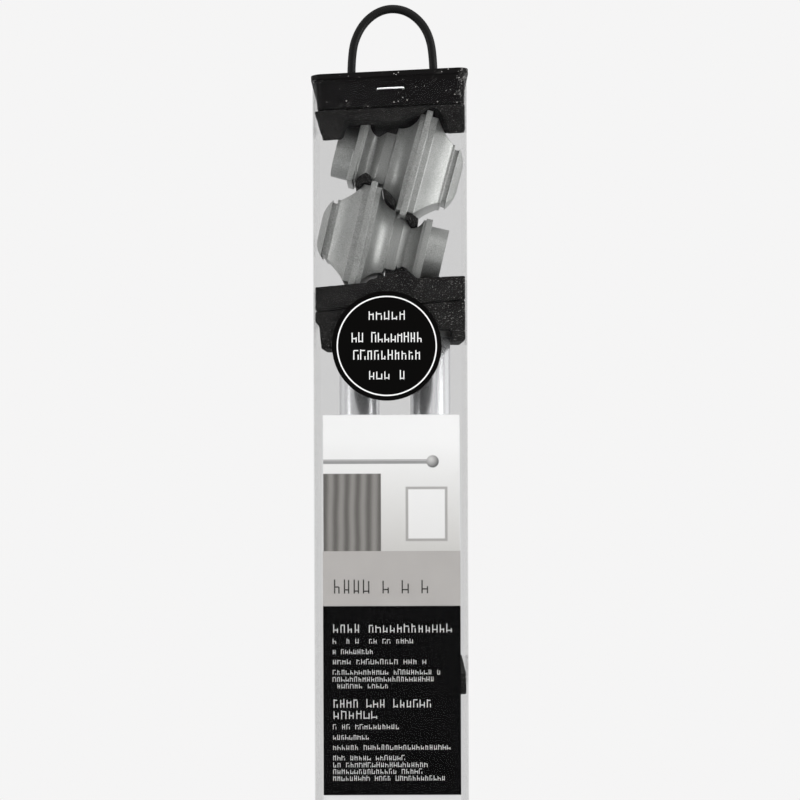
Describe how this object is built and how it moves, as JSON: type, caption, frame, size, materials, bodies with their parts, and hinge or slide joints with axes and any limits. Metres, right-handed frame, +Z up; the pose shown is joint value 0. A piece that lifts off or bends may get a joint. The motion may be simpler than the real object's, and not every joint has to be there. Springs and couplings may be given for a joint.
{
  "type": "double curtain pole in a clear hanging pack",
  "caption": "Clear hanging pack of a double curtain pole: telescoping silver poles, square moulded finials, double brackets and fixings held in cut foam.",
  "frame": {"origin": "centre of the bottom cap's underside, on the surface that the pack can stand on", "axes": "+Z up along the pack towards the hanging loop, front face with the card towards -Y, +X to the right of a person facing the front"},
  "size_m": [0.0728, 0.0588, 1.4047],
  "materials": {
    "clear_sheet": "thin clear folded sheet, glossy",
    "black_cap": "semi-gloss black moulding, scuffed at one corner",
    "staple_wire": "bright wire",
    "black_cord": "satin black cord",
    "silver_plastic": "satin silver-grey paint on a moulding",
    "black_foam": "matte black closed-cell foam with dust specks",
    "pole_coat": "satin silver powder coat",
    "bush_plastic": "natural white plastic",
    "bracket_coat": "satin silver powder coat",
    "zinc_steel": "zinc plated",
    "bag_film": "thin clear film",
    "anchor_plastic": "grey plastic",
    "printed_card": null,
    "sticker_print": "gloss black sticker with a white ring"
  },
  "bodies": {
    "root": {"clear_sleeve": "clear_sheet", "top_cap": "black_cap", "bottom_cap": "black_cap", "staple": "staple_wire", "hang_loop": "black_cord", "upper_finial": "silver_plastic", "lower_finial": "silver_plastic", "foam_cradle": "black_foam", "foam_slab": "black_foam", "foam_saddle": "black_foam", "foam_wedges": "black_foam", "upper_spacer": "black_foam", "lower_spacer": "black_foam", "base_foam": "black_foam", "left_pole_outer": "pole_coat", "left_pole_inner": "pole_coat", "left_pole_bushes": "bush_plastic", "right_pole_outer": "pole_coat", "right_pole_inner": "pole_coat", "right_pole_bushes": "bush_plastic", "back_pole_plugs": "silver_plastic", "bracket_1": "bracket_coat", "bracket_2": "bracket_coat", "bracket_3": "bracket_coat", "thumb_screws": "zinc_steel", "fixings_bag": "bag_film", "wall_screws": "zinc_steel", "wall_anchors": "anchor_plastic", "insert_card": "printed_card", "round_sticker": "sticker_print"}
  },
  "joints": []
}
